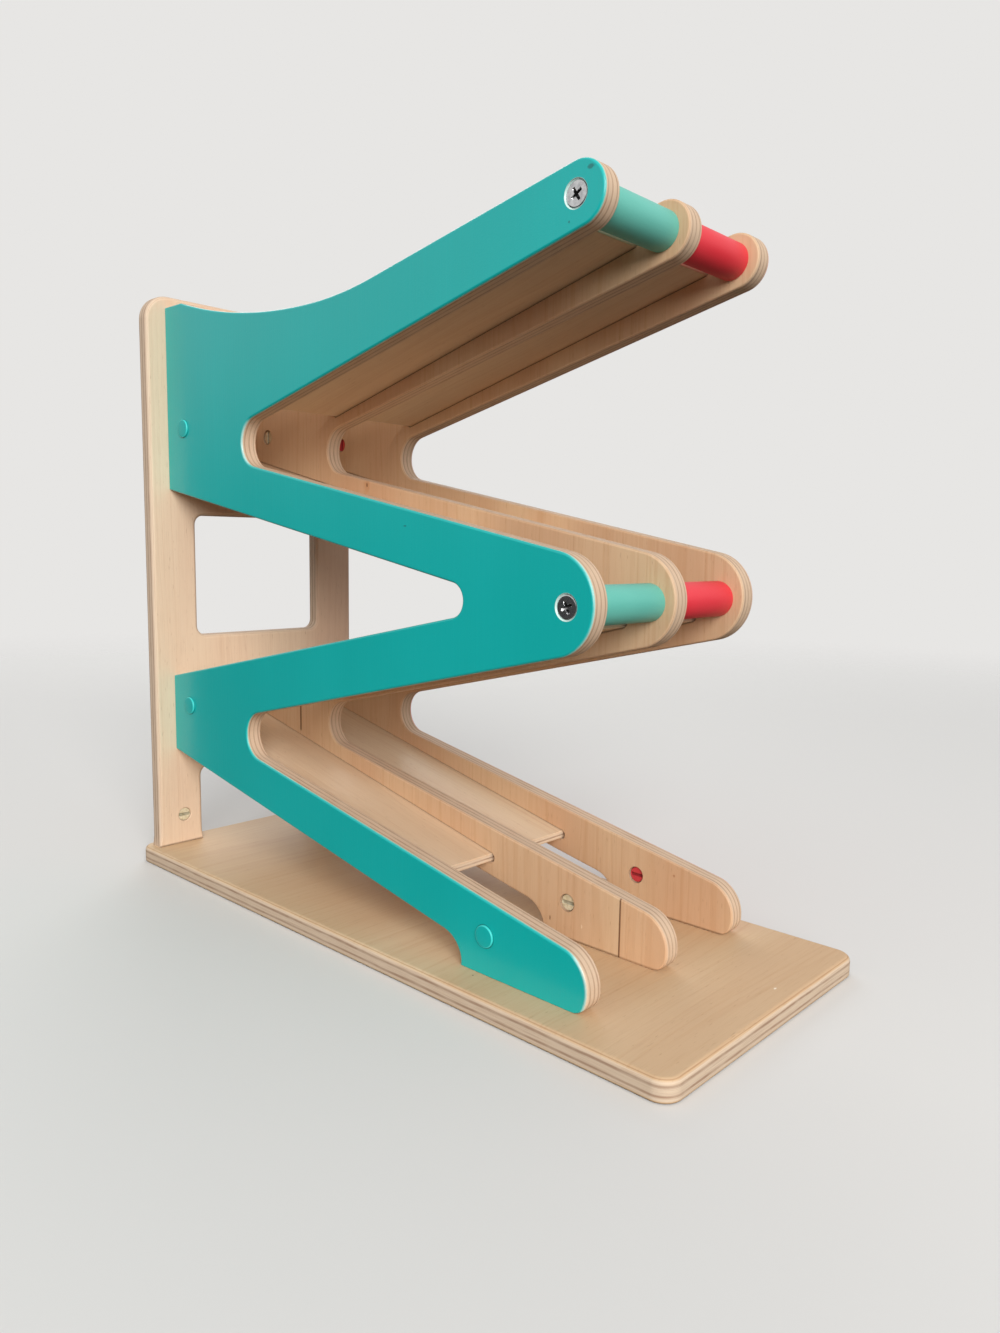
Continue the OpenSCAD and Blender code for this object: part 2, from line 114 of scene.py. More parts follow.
# shader values: arithmetic on a Shade adds Math nodes, node() adds any other kind
class Shade:
    def __init__(self, tree, socket=None):
        self.tree = tree
        self.socket = socket

    def node(self, kind, settings={}, sockets={}, out=0):
        made = self.tree.nodes.new(kind)
        for key, value in settings.items():
            setattr(made, key, value)
        for key, value in sockets.items():
            if isinstance(value, Shade):
                self.tree.links.new(value.socket, made.inputs[key])
            else:
                made.inputs[key].default_value = value
        return Shade(self.tree, made.outputs[out])

    def math(self, operation, *values):
        return self.node("ShaderNodeMath", {"operation": operation}, dict(enumerate(values)))

    def __add__(self, other):
        return self.math("ADD", self, other)

    def __radd__(self, other):
        return self.math("ADD", other, self)

    def __sub__(self, other):
        return self.math("SUBTRACT", self, other)

    def __rsub__(self, other):
        return self.math("SUBTRACT", other, self)

    def __mul__(self, other):
        return self.math("MULTIPLY", self, other)

    def __rmul__(self, other):
        return self.math("MULTIPLY", other, self)

    def __abs__(self):
        return self.math("ABSOLUTE", self)

    def __mod__(self, other):
        return self.math("FLOORED_MODULO", self, other)

    def floor(self):
        return self.math("FLOOR", self)

    def least(self, other):
        return self.math("MINIMUM", self, other)

    def most(self, other):
        return self.math("MAXIMUM", self, other)

    def ramp(self, low, high):  # 0 below low, 1 above high, smooth between
        return self.node("ShaderNodeMapRange", {"interpolation_type": "SMOOTHSTEP"},
                         {"Value": self, "From Min": low, "From Max": high})

    def vector(self, x, y, z):
        return self.node("ShaderNodeCombineXYZ", {}, {0: x, 1: y, 2: z})

    def length(self):
        return self.node("ShaderNodeVectorMath", {"operation": "LENGTH"}, {0: self}, "Value")

    def noise(self, x, y, z, detail=2.0):
        return self.node("ShaderNodeTexNoise", {},
                         {"Vector": self.vector(x, y, z), "Scale": 1.0, "Detail": detail, "Roughness": 0.5})

    def mix(self, factor, a, b):  # blends two colours, hex codes or values
        a, b = (ink(colour) if isinstance(colour, str) else colour for colour in (a, b))
        return self.node("ShaderNodeMix", {"data_type": "RGBA"}, {0: factor, 6: a, 7: b}, 2)

    def bump(self, height, depth):
        return self.node("ShaderNodeBump", {}, {"Height": height, "Distance": depth, "Strength": 1.0})

    def attribute(self, name, out):  # a value that the mesh carries
        return self.node("ShaderNodeAttribute", {"attribute_name": name}, out=out)

    def spot(self):  # the place on a piece
        return self.node("ShaderNodeTexCoord", out="Object")

    def ray(self, kind):  # 1 for rays of this kind, 0 for others
        return self.node("ShaderNodeLightPath", out=f"Is {kind} Ray")

    def axes(self, source):  # the three parts of a vector
        made = self.tree.nodes.new("ShaderNodeSeparateXYZ")
        self.tree.links.new(source.socket, made.inputs[0])
        return [Shade(self.tree, socket) for socket in made.outputs]


def ink(code):  # colour of a hex code, as the renderer counts it
    parts = [int(code[i:i + 2], 16) / 255 for i in (0, 2, 4)]
    return tuple(p / 12.92 if p <= 0.04045 else ((p + 0.055) / 1.055) ** 2.4 for p in parts) + (1.0,)


def newFinish(name):  # a material, its shader and a Shade to start from
    finish = bpy.data.materials.new(name)
    finish.use_nodes = True
    return finish, finish.node_tree.nodes["Principled BSDF"], Shade(finish.node_tree)


def plug(shader, **values):  # sets a shader's sockets, underscores stand for spaces
    for key, value in values.items():
        socket = shader.inputs[key.replace("_", " ")]
        if isinstance(value, Shade):
            value.tree.links.new(value.socket, socket)
        else:
            socket.default_value = value


# birch plywood: long fibres on the faces, light and dark layers where an edge cuts through
birch = {
    "fibre": "B98556", "fleck": "9C6A42", "darkLayer": "B08F76", "glue": "8C6F58", "crest": "EDD9C2",
    "rough": 0.44, "specular": 0.3, "relief": 0.00012, "darkHalf": 0.27, "soft": 0.2,
}
panelVeneer = {"cream": "DAB994", "peach": "CFA581", "layer": "D5BB9F",
               "figure": 1.0, "tornHighlight": 0.22, "line": 0.4}
backVeneer = {"cream": "E5CDB0", "peach": "DEBDA1", "layer": "D6BFA6",
              "figure": 0.45, "tornHighlight": 0.22, "line": 0.3}
baseVeneer = {"cream": "DCC19C", "peach": "D0AD86", "layer": "DDC6AC",
              "figure": 0.75, "tornHighlight": 0.06, "line": 0.5}
trackVeneer = {"cream": "E4CDAE", "peach": "D8B998", "layer": "EBD8BE",
               "figure": 0.7, "tornHighlight": 0.3, "line": 0.0}


def fibres(shade, along, across, through, veneer):  # colour of the veneer, and its height for the bump
    drift = shade.noise(across * 16.0, along * 3.0, through * 9.0 + 3.1)
    wander = shade.noise(across * 30.0, along * 3.5, 7.7, 1.0)
    bands = shade.noise(across * 95.0 + wander * 4.0, along * 1.2, 2.9, 2.0)
    lines = 1.0 - abs(bands - 0.5).ramp(0.004, 0.03)
    coarse = shade.noise(across * 620.0, along * 15.0, through * 300.0, 3.0)
    fine = shade.noise(across * 2300.0, along * 60.0, through * 900.0 + 5.0, 2.0)
    flecks = shade.noise(across * 1700.0, along * 190.0, through * 600.0 + 9.0, 1.0).ramp(0.68, 0.80)
    tone = shade.mix(drift.ramp(0.3, 0.7), veneer["cream"], veneer["peach"])
    figure = coarse.ramp(0.42, 0.75) * 0.14 + lines * 0.17 + bands.ramp(0.5, 0.75) * 0.08
    tone = shade.mix(figure * veneer["figure"], tone, birch["fibre"])
    tone = shade.mix(fine.ramp(0.5, 0.8) * 0.15 + flecks * 0.32, tone, birch["fleck"])
    return tone, coarse * 0.5 + fine * 0.3 - flecks * 0.5 - lines * 0.2


def layers(shade, along, across, depth, plies, tone, veneer):  # depth counts plies from the lower face
    bend = shade.noise(along * 38.0, across * 38.0, depth * 0.7, 3.0) - 0.5
    place = (depth + bend * 0.6).most(0.01).least(plies - 0.01)
    middle = abs((place + 1.5) % 2.0 - 1.0)  # 0 in the middle of each dark layer
    dark = 1.0 - middle.ramp(birch["darkHalf"] - birch["soft"], birch["darkHalf"] + birch["soft"])
    near = depth.least(plies - depth)  # plies to the nearer face
    inner = near.ramp(0.35, 0.75)
    streak = shade.noise(along * 75.0, across * 75.0, depth * 11.0, 4.0)
    # a pale ragged line on the roundover near each face, partly torn fibres and partly a painted highlight
    tornHighlight = near.ramp(0.06, 0.16) * (1.0 - near.ramp(0.22, 0.5)) * streak.ramp(0.35, 0.6)
    patch = shade.noise(along * 90.0, across * 90.0, place.floor() * 3.7, 2.0)
    pores = shade.noise(along * 2200.0, across * 2200.0, depth * 7.0, 1.0).ramp(0.64, 0.78)
    thread = shade.noise(along * 45.0, across * 45.0, depth * 8.0 + 4.0, 3.0).ramp(0.52, 0.64)
    pale = shade.mix(streak.ramp(0.4, 0.75) * 0.5, veneer["layer"], veneer["peach"])
    pale = shade.mix(thread * 0.4, pale, birch["darkLayer"])
    deep = shade.mix(patch.ramp(0.3, 0.7) * 0.45, birch["darkLayer"], veneer["layer"])
    deep = shade.mix(streak.ramp(0.42, 0.75) * 0.45 + pores * 0.25, deep, birch["glue"])
    core = shade.mix(dark, pale, deep)
    glued = 1.0 - abs(near + streak * 0.2 - 0.38).ramp(0.02, 0.12)  # the line under the outer sheet
    tone = shade.mix(tornHighlight * veneer["tornHighlight"], shade.mix(inner, tone, core), birch["crest"])
    tone = shade.mix(glued * veneer["line"], tone, birch["fleck"])
    return tone, inner, streak - pores * 0.5


def plyFinish(name, thick, plies, veneer, seed, marks=(), paint=None, outer=1):
    finish, shader, shade = newFinish(name)
    along, across, through = shade.axes(shade.attribute("grain", "Vector"))
    tone, relief = fibres(shade, along + seed, across, through, veneer)
    depth = through * (plies / thick) + plies / 2
    for mark, *values in marks:  # veneer joints, pin knots, dents and shade along gaps
        tone = mark(shade, along, across, through, tone, *values)
    tone, inner, grit = layers(shade, along + seed, across, depth, plies, tone, veneer)
    rough = inner * 0.2 + relief * 0.10 + birch["rough"]
    height = relief * (1.0 - inner * 0.5) + inner * grit * 0.8
    if paint:
        tone, rough, height, sheen = painted(shade, along, across, thick / 2 - outer * through,
                                             paint, tone, rough, height)
        plug(shader, Coat_Weight=sheen, Coat_Roughness=paintFilm["sheenRough"])
    plug(shader, Base_Color=tone, Roughness=rough, Specular_IOR_Level=birch["specular"],
         Normal=shade.bump(height, birch["relief"]))
    return finish


# paint on the outer faces: it ends where the edge was sanded round; the pale band just before that is partly
# sanding and partly painted highlight
# a scuff is (x, z, width, height)
# the scuff colour serves real scuffs and also painted shade round the nuts' caps and in their slots
tealPaint = {
    "body": "00AEA9", "thin": "0AB9B4", "sandedAndHighlight": "86D3C6", "seat": "D2E7DF", "scuffAndShade": "1C4644",
    "rough": 0.34, "scuffs": [(0.0311, 0.1948, 0.0011, 0.0004), (0.1273, 0.3180, 0.0017, 0.0009),
                              (0.1181, 0.3014, 0.0005, 0.0005)],
}
coralPaint = {
    "body": "E63A43", "thin": "EF5A5E", "sandedAndHighlight": "F09A94", "seat": "F2E2D6", "scuffAndShade": "7A2A2C",
    "rough": 0.34, "scuffs": [],
}
paintFilm = {
    "full": 0.0003, "ends": 0.0008, "bare": 0.0011, "ragged": 0.0002,  # depths below the face
    "sheen": 0.5, "sheenRough": 0.25, "relief": 0.00006, "seatSoft": 0.0001, "seatBare": 0.9,
    "capSharp": 0.0001, "capSoft": 0.0006, "capShade": 0.65,
    "wearFrom": 0.003, "wearPast": 0.006, "wearPale": (-0.0005, 0.0006), "wearBare": (-0.0010, -0.0003),
}


def farFrom(shade, along, across, x, z):  # distance from a point of the face
    return shade.vector(across - float(x), along - float(z), 0.0).length()


def spotAt(shade, along, across, x, z, wide, tall):  # 1 inside a small ragged oval, 0 outside
    ragged = shade.noise(across * 2600.0, along * 2600.0, 3.3, 2.0) - 0.5
    away = shade.vector((across - x) * (1 / wide), (along - z) * (1 / tall), 0.0)
    return 1.0 - (away.length() + ragged * 1.2).ramp(0.6, 1.15)


def painted(shade, along, across, below, paint, tone, rough, height):
    p = paintFilm
    ragged = (shade.noise(across * 700.0, along * 700.0, 2.2, 2.0) - 0.5) * p["ragged"] + below
    cover = 1.0 - ragged.ramp(p["ends"], p["bare"])
    wornAndHighlight = ragged.ramp(p["full"], p["ends"])
    cloud = shade.noise(across * 16.0, along * 8.0, 4.4, 3.0)
    brush = shade.noise(across * 1300.0, along * 18.0, 6.6, 2.0)
    coat = shade.mix(cloud.ramp(0.3, 0.75) * 0.4 + brush.ramp(0.4, 0.8) * 0.14,
                     paint["body"], paint["thin"])
    # a pale band at the paint's edge: partly sanded paint, partly a painted highlight on the rolled edge
    coat = shade.mix(wornAndHighlight * 0.85, coat, paint["sandedAndHighlight"])
    for x, z in paint["seats"]:  # bare wood where the screws' seats were cut through the paint
        seat = screwSize["seat"]
        cut = 1.0 - farFrom(shade, along, across, x, z).ramp(seat, seat + p["seatSoft"])
        coat = shade.mix(cut * p["seatBare"], coat, paint["seat"])
    for x, z in paint["caps"]:  # shade where a nut's cap meets the face
        off = abs(farFrom(shade, along, across, x, z) - nutSize["cap"])
        coat = shade.mix((1.0 - off.ramp(p["capSharp"], p["capSoft"])) * p["capShade"], coat, paint["scuffAndShade"])
    for x, z, radius, side, reach in paint["wears"]:  # round ends sanded through the paint, at most by reach
        far = farFrom(shade, along, across, x, z)
        here = ((across - float(x)) * side).ramp(p["wearFrom"], radius)
        here = here * (1.0 - far.ramp(radius + p["wearFrom"], radius + p["wearPast"]))
        inside = (radius - far) * side + (ragged - below) * 2.0 - here * reach
        pale = (1.0 - inside.ramp(*p["wearPale"])) * here.ramp(0.0, 0.5) * 0.6
        bare = (1.0 - inside.ramp(*p["wearBare"])) * here.ramp(0.1, 0.6)
        coat = shade.mix(bare, shade.mix(pale, coat, paint["seat"]), panelVeneer["layer"])
    for x, z, wide, tall in paint["scuffs"]:
        coat = shade.mix(spotAt(shade, along, across, x, z, wide, tall) * 0.6, coat, paint["scuffAndShade"])
    skin = shade.noise(across * 1300.0, along * 1300.0, 8.8, 1.0)
    film = brush * 0.35 + skin * 0.25
    return (shade.mix(cover, tone, coat), cover * (paint["rough"] - rough + cloud * 0.06) + rough,
            cover * (film - height) + height, cover * p["sheen"])


def plainPaint(name, paint):
    # dowels, pins and painted nuts: pale where sink is below 0, a rubbed rim that is partly a painted
    # highlight; dark where it is above, painted shade in the slots
    finish, shader, shade = newFinish(name)
    sink = shade.attribute("sink", "Fac")
    x, y, z = shade.axes(shade.spot())
    cloud = shade.noise(x * 60.0, y * 25.0, z * 60.0, 3.0)
    speck = shade.noise(x * 2200.0, y * 1500.0, z * 2200.0, 2.0)
    tone = shade.mix(cloud.ramp(0.3, 0.7) * 0.35 + speck.ramp(0.55, 0.8) * 0.15,
                     paint["body"], paint["thin"])
    tone = shade.mix((0.0 - sink).ramp(0.2, 0.9) * 0.6, tone, paint["sandedAndHighlight"])
    # painted shade in the slots, where sink is above 0
    tone = shade.mix(sink.ramp(0.1, 0.7) * 0.65, tone, paint["scuffAndShade"])
    plug(shader, Base_Color=tone, Roughness=cloud * 0.10 + paint["rough"],
         Normal=shade.bump(speck * 0.6 + cloud, paintFilm["relief"]))
    return finish


# plated metal: uneven, with painted shade in its recesses by deep
plated = {"recessShade": "2A2927", "relief": 0.00002}
screwZinc = {"bright": "D9DADB", "dull": "B9BABD", "rough": 0.10, "metal": 1.0, "deep": 0.85}
boltZinc = {"bright": "C9CACC", "dull": "A6A8AC", "rough": 0.3, "metal": 1.0, "deep": 0.85}
paleBrass = {"bright": "EADFC0", "dull": "D3C49C", "rough": 0.42, "metal": 0.2, "deep": 0.4}


def metalFinish(name, plating):
    finish, shader, shade = newFinish(name)
    x, y, z = shade.axes(shade.spot())
    sink = shade.attribute("sink", "Fac")
    cloud = shade.noise(x * 500.0, y * 500.0, z * 500.0, 3.0)
    scratch = shade.noise(x * 5200.0, y * 5200.0, z * 900.0, 2.0)
    tone = shade.mix(cloud.ramp(0.35, 0.7), plating["bright"], plating["dull"])
    # painted shade in the recesses
    tone = shade.mix(sink.ramp(0.02, 0.35) * plating["deep"], tone, plated["recessShade"])
    plug(shader, Base_Color=tone, Metallic=plating["metal"],
         Roughness=cloud * 0.14 + scratch * 0.08 + sink * 0.5 + plating["rough"],
         Normal=shade.bump(scratch, plated["relief"]))
    return finish


# surfaces: welded points in a piece's own axes, faces, and a normal for each corner of each face
class Shell:
    def __init__(self):
        self.points, self.quads, self.quadNormals, self.tris, self.triNormals = [], [], [], [], []
        self.count = 0

    def rows(self, grid):  # adds a grid of points (rows, columns, 3), gives their numbers
        index = self.count + np.arange(grid.shape[0] * grid.shape[1]).reshape(grid.shape[:2])
        self.points.append(grid.reshape(-1, 3))
        self.count += index.size
        return index

    def skin(self, index, leaving, arriving, flip=False):
        # closed strips of quads: a column gives one normal to the quad after it and one to the quad before
        after = np.roll(index, -1, 1)
        met = np.roll(arriving, -1, 1)
        corners = [index[:-1], index[1:], after[1:], after[:-1]]
        normals = [leaving[:-1], leaving[1:], met[1:], met[:-1]]
        if flip:
            corners, normals = corners[::-1], normals[::-1]
        self.quads.append(np.stack(corners, -1).reshape(-1, 4))
        self.quadNormals.append(np.stack(normals, -2).reshape(-1, 3))

    def cap(self, loops, flat, normal):  # fills the first loop of point numbers, less the others
        numbers = np.concatenate(loops)
        starts = np.cumsum([0] + [len(loop) for loop in loops])
        rims = [list(range(a, b)) for a, b in zip(starts, starts[1:])]
        spots = np.concatenate(flat)
        made = delaunay_2d_cdt(spots.tolist(), [], rims, 2, 1e-9)
        source = np.array([came[0] for came in made[3]])
        tris = numbers[source[np.array(made[2])]]
        if normal < 0:
            tris = tris[:, ::-1]
        self.tris.append(tris)
        self.triNormals.append(np.tile((0.0, 0.0, normal), (tris.size, 1)))

    def piece(self, node, slot, origin, axes, grainOrder, grainShift, finish):
        # local points go through the axes to their place, and carry along, across and through as wood
        local = np.concatenate(self.points)
        axes = np.array(axes, float)
        faces = [f for block in self.quads + self.tris for f in block.tolist()]
        mesh = place(node, slot, local @ axes + np.array(origin), faces, finish)
        wood = local[:, list(grainOrder)] + np.array(grainShift)
        mesh.attributes.new("grain", "FLOAT_VECTOR", "POINT").data.foreach_set("vector", wood.ravel())
        normals = np.concatenate(self.quadNormals + self.triNormals) @ axes
        mesh.normals_split_custom_set(normals.tolist())


def place(node, slot, points, faces, finish):  # a smooth piece that stands for a CAD node; gives its mesh
    name = node.replace("_", "-")
    mesh = bpy.data.meshes.new(name)
    mesh.from_pydata(points.tolist(), [], faces)
    mesh.polygons.foreach_set("use_smooth", np.ones(len(faces), bool))
    mesh.materials.append(finish)
    piece = put(name, mesh)
    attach(piece, "root")
    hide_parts(node)
    return mesh


# outlines: a belt runs anticlockwise round wheels (x, y, radius); minus is an inner corner, 0 a sharp one
def heading(a, b):  # direction of the straight between two wheels
    lean = (b[2] - a[2]) / math.hypot(b[0] - a[0], b[1] - a[1])
    return math.atan2(b[1] - a[1], b[0] - a[0]) - math.asin(max(-1.0, min(1.0, lean)))


def outward(angle):  # unit vectors to the right of a direction
    return np.stack([np.sin(angle), -np.cos(angle)], -1)


# spacing on arcs, in metres and radians, and on straights; the most steps of one arc
beltSteps = {"arc": 0.0012, "turn": 0.14, "run": 0.006, "most": 64}


def belt(wheels):  # points, and the normals of the edges that arrive and leave
    points, arrive, leave = [], [], []
    for i, wheel in enumerate(wheels):
        after = wheels[(i + 1) % len(wheels)]
        start, end = heading(wheels[i - 1], wheel), heading(wheel, after)
        hub, radius = np.array(wheel[:2]), wheel[2]
        if radius == 0:
            turn = np.array([end])
            arrive.append(outward(np.array([start])))
        else:
            full = 2 * math.pi
            sweep = (end - start) % full if radius > 0 else -((start - end) % full)
            steps = math.ceil(max(abs(sweep * radius) / beltSteps["arc"], abs(sweep) / beltSteps["turn"]))
            turn = start + sweep * np.linspace(0, 1, min(steps, beltSteps["most"]) + 1)
            arrive.append(outward(turn))
        points.append(hub + radius * outward(turn))
        leave.append(outward(turn))
        side = outward(np.array(end))
        run = np.array(after[:2]) + after[2] * side - hub - radius * side
        steps = int(np.linalg.norm(run) / beltSteps["run"])
        share = np.arange(1, steps + 1)[:, None] / (steps + 1)
        points.append(hub + radius * side + share * run)
        arrive.append(np.tile(side, (steps, 1)))
        leave.append(np.tile(side, (steps, 1)))
    points = np.concatenate(points)
    apart = np.linalg.norm(points - np.roll(points, 1, 0), axis=1) > 1e-7  # arcs that touch share a point
    return points[apart], np.concatenate(arrive)[apart], np.concatenate(leave)[apart]


def oblong(reachX, reachY, corner):  # a belt round four corners about the middle
    return belt([(x * reachX, y * reachY, corner) for x, y in ((-1, -1), (1, -1), (1, 1), (-1, 1))])


def ring(x, y, radius, steps=48):  # a round loop, anticlockwise, and its normals
    turn = circle(steps)
    normals = np.stack([np.cos(turn), np.sin(turn)], -1)
    return np.array([x, y]) + radius * normals, normals


def edging(shell, loop, thick, radiusOf, arcSteps, under):
    # a round profile carried along the loop, scaled by under on the lower face; gives the faces' rims
    points, arrive, leave = loop
    radiusIn, radiusOut = radiusOf(points, arrive), radiusOf(points, leave)
    cross = arrive[:, 0] * leave[:, 1] - arrive[:, 1] * leave[:, 0]
    sharp = np.abs(cross) > 0.25  # corners that need a mitre
    safe = np.where(sharp, cross, 1.0)[:, None]
    mitre = np.stack([radiusIn * leave[:, 1] - radiusOut * arrive[:, 1],
                      radiusOut * arrive[:, 0] - radiusIn * leave[:, 0]], -1) / safe
    inset = np.where(sharp[:, None], mitre, arrive * radiusIn[:, None])
    radius = np.maximum(radiusIn, radiusOut)
    tilt = np.linspace(math.pi / 2, 0, arcSteps + 1)[:, None]
    upper, lower = (np.concatenate([points - inset * scale * (1 - np.cos(tilt))[:, :, None],
                                    (thick / 2 - radius * scale * (1 - np.sin(tilt)))[:, :, None]], 2)
                    for scale in (1.0, under))
    grid = np.concatenate([upper, lower[::-1] * (1, 1, -1)])
    side = np.concatenate([np.cos(tilt), np.cos(tilt[::-1])])
    rise = np.concatenate([np.sin(tilt), -np.sin(tilt[::-1])])

    def facing(normals):
        spread = np.broadcast_to(rise[:, :, None], (len(rise), len(points), 1))
        return np.concatenate([normals * side[:, :, None], spread], 2)

    index = shell.rows(grid)
    shell.skin(index, facing(leave), facing(arrive))
    return (index[0], upper[0, :, :2]), (index[-1], lower[0, :, :2])


def sunk(shell, loop, top, steps, face):
    # walls of a hole from a face, face is 1 or -1: each step is (inset, depth); gives the first and last rows
    points, normals = loop

    def column(value):
        return np.full((len(points), 1), value)

    rows = np.stack([np.concatenate([points - normals * inset, column(face * (top - depth))], 1)
                     for inset, depth in steps])
    index = shell.rows(rows)
    for k, (a, b) in enumerate(zip(steps, steps[1:])):
        slant = math.atan2(b[0] - a[0], b[1] - a[1])
        facing = np.concatenate([-normals * math.cos(slant), column(face * math.sin(slant))], 1)
        both = np.stack([facing, facing])
        shell.skin(index[k:k + 2], both, both, flip=face > 0)
    return (index[0], rows[0][:, :2]), (index[-1], rows[-1][:, :2])


def board(node, slot, loops, thick, radiusOf, origin, axes, finish, holes=(), arcSteps=6, under=1.0,
          grainOrder=(1, 0, 2), grainShift=(0, 0, 0)):
    # a flat board with rounded edges; a hole is (loop, face, steps, open), an open one reaches the other face
    shell = Shell()
    rims = {1: [], -1: []}
    for loop in loops:
        upper, lower = edging(shell, loop, thick, radiusOf, arcSteps, under)
        rims[1].append(upper)
        rims[-1].append(lower)
    for loop, face, steps, isOpen in holes:
        first, last = sunk(shell, loop, thick / 2, steps, face)
        rims[face].append(first)
        if isOpen:
            rims[-face].append(last)
        else:
            shell.cap([last[0]], [last[1]], face)
    for face, edges in rims.items():
        shell.cap([numbers for numbers, _ in edges], [flat for _, flat in edges], face)
    shell.piece(node, slot, origin, axes, grainOrder, grainShift, finish)


# fasteners' places, read from their groups
nutSize = {"radius": 0.0037, "gap": 0.0002, "rim": 0.0003, "cap": 0.0048, "capHigh": 0.0009}
boltSize = {"head": 0.004, "shank": 0.002, "headHigh": 0.0026, "sunk": 0.0003, "seat": 0.0043}
screwSize = {"head": 0.0047, "shank": 0.00225, "headHigh": 0.003, "sunk": 0.0003, "seat": 0.0053}
seatTaper = 0.0001  # inset of the short wall over a sunk head
backBoltLow, backBoltHigh = spanOf("left_back_bolts")
nutLow, nutHigh = spanOf("middle_barrel_nuts")
legNutLow, legNutHigh = spanOf("leg_barrel_nuts")
upperNutZ = backBoltHigh[2] - boltSize["head"]
lowerNutZ = backBoltLow[2] + boltSize["head"]
rearNutX = nutLow[0] + nutSize["radius"]
footNutX = nutHigh[0] - nutSize["radius"]
footNutZ = nutLow[2] + nutSize["radius"]
legNutY = legNutHigh[1] - nutSize["radius"]
legNutZ = middleOf("leg_barrel_nuts")[2]
panelNuts = [(rearNutX, upperNutZ), (rearNutX, lowerNutZ), (footNutX, footNutZ)]


def nutHole(x, y, thick):  # straight through, with a broken edge on both faces
    rim = nutSize["rim"]
    steps = [(0, 0), (rim, rim), (rim, thick - rim), (0, thick)]
    return ring(x, y, nutSize["radius"] + nutSize["gap"] + rim), 1, steps, True


def countersink(x, y, face, size):  # a seat for a sunk head
    steps = [(0, 0), (seatTaper, size["sunk"]),
             (size["seat"] - size["shank"], size["sunk"] + size["headHigh"])]
    return ring(x, y, size["seat"]), face, steps, False


# track boards: middle, slope and length worked out from the box of each
trackBoard = {"thick": 0.0045, "gap": 0.0003, "groove": 0.003, "inside": 0.0003, "plies": 3,
              "endRound": 0.0004, "eased": 0.0002, "grainFrom": 3.3, "grainAlong": 0.9, "grainAcross": 0.4}
trackNames = ("top", "upper", "lower", "bottom")


def trackAt(node, rising):
    low, high = spanOf(node)
    size = high - low
    slope = 0.0
    for _ in range(30):  # slope and thickness share the box, so they settle in turns
        slope = math.atan2(size[2] - trackBoard["thick"] * math.cos(slope),
                           size[0] - trackBoard["thick"] * math.sin(slope))
    length = (size[0] - trackBoard["thick"] * math.sin(slope)) / math.cos(slope)
    return {"middle": (low + high) / 2, "slope": slope * rising, "length": length, "wide": size[1]}


tracks = {(side, name): trackAt(f"{side}_track_{name}", 1 if name in ("top", "lower") else -1)
          for side in ("left", "right") for name in trackNames}


def grooveLoops():  # a round-ended slot for each track, kept just inside the wood
    radius = trackBoard["thick"] / 2 + trackBoard["gap"]
    for name in trackNames:
        track = tracks["left", name]
        reach = np.array([math.cos(track["slope"]), math.sin(track["slope"])]) * track["length"] / 2
        middle = track["middle"][[0, 2]]
        rear, front = middle - reach, middle + reach
        inside = backFace + radius + zigzag["eased"] + trackBoard["inside"]
        if rear[0] < inside:
            rear = rear + unit(reach) * (inside - rear[0]) / math.cos(track["slope"])
        points, normals, _ = belt([(*rear, radius), (*front, radius)])
        yield points, normals


# zig-zag panels: heights over the base, lengths from the back panel or the front
zigzag = {
    "rearTop": 0.3055, "shelf": 0.0165, "shelfSoft": 0.002, "dipAt": 0.133, "dipHigh": 0.288, "topRun": 0.113,
    "topEndHigh": 0.3014, "topEnd": 0.0117,
    "upperMouthHigh": 0.228, "lowerMouthHigh": 0.0769, "mouth": 0.0125, "mouthWall": 0.0744,
    "noseHigh": 0.1564, "nose": 0.0204,
    "notchHigh": 0.1554, "notch": 0.0074, "notchWall": 0.0675,
    "upperBlock": 0.2063, "lowerBlockTop": 0.1006, "lowerBlock": 0.0572,
    "foot": 0.066, "heelHigh": 0.0005, "heel": 0.0129, "browHigh": 0.0094, "brow": 0.0153, "toe": 0.008,
    "footPast": 0.002, "roundover": 0.0010, "eased": 0.0005, "fade": 0.004, "plies": 7,
}
footX = sideHigh[0]  # the feet reach a little past the nose
frontX = footX - zigzag["footPast"]


def zigzagLoop():
    z = zigzag
    shelfX, shelfZ = backFace + z["shelf"], z["rearTop"]
    dipX, dipZ = backFace + z["dipAt"], z["dipHigh"]
    dip = ((dipX - shelfX) ** 2 + (shelfZ - dipZ) ** 2) / (2 * (shelfZ - dipZ))
    endX, endRise = frontX - z["topEnd"], z["topEndHigh"] - z["dipHigh"]
    dipFront = (endX - dipX) ** 2 + endRise ** 2 - z["topEnd"] ** 2 - z["topRun"] ** 2
    dipFront /= 2 * (endRise + z["topEnd"])  # the arc that leaves a straight of topRun to the top end
    mouthX = backFace + z["mouthWall"] + z["mouth"]
    wheels = [
        (backFace, z["lowerBlock"], 0),
        (frontX - z["foot"] - z["heel"], z["heelHigh"], -z["heel"]),
        (frontX - z["foot"], 0, 0),
        (footX - z["toe"], z["toe"], z["toe"]),
        (footX - z["brow"], z["browHigh"], z["brow"]),
        (mouthX, z["lowerMouthHigh"], -z["mouth"]),
        (frontX - z["nose"], z["noseHigh"], z["nose"]),
        (mouthX, z["upperMouthHigh"], -z["mouth"]),
        (endX, z["topEndHigh"], z["topEnd"]),
        (dipX, dipZ + dipFront, -dipFront),
        (dipX, dipZ + dip, -dip),
        (shelfX, shelfZ - z["shelfSoft"], z["shelfSoft"]),
        (backFace, shelfZ, 0),
        (backFace, z["upperBlock"], 0),
        (frontX - z["notchWall"] - z["notch"], z["notchHigh"], -z["notch"]),
        (backFace, z["lowerBlockTop"], 0),
    ]
    return belt([(x, baseTop + high, radius) for x, high, radius in wheels])


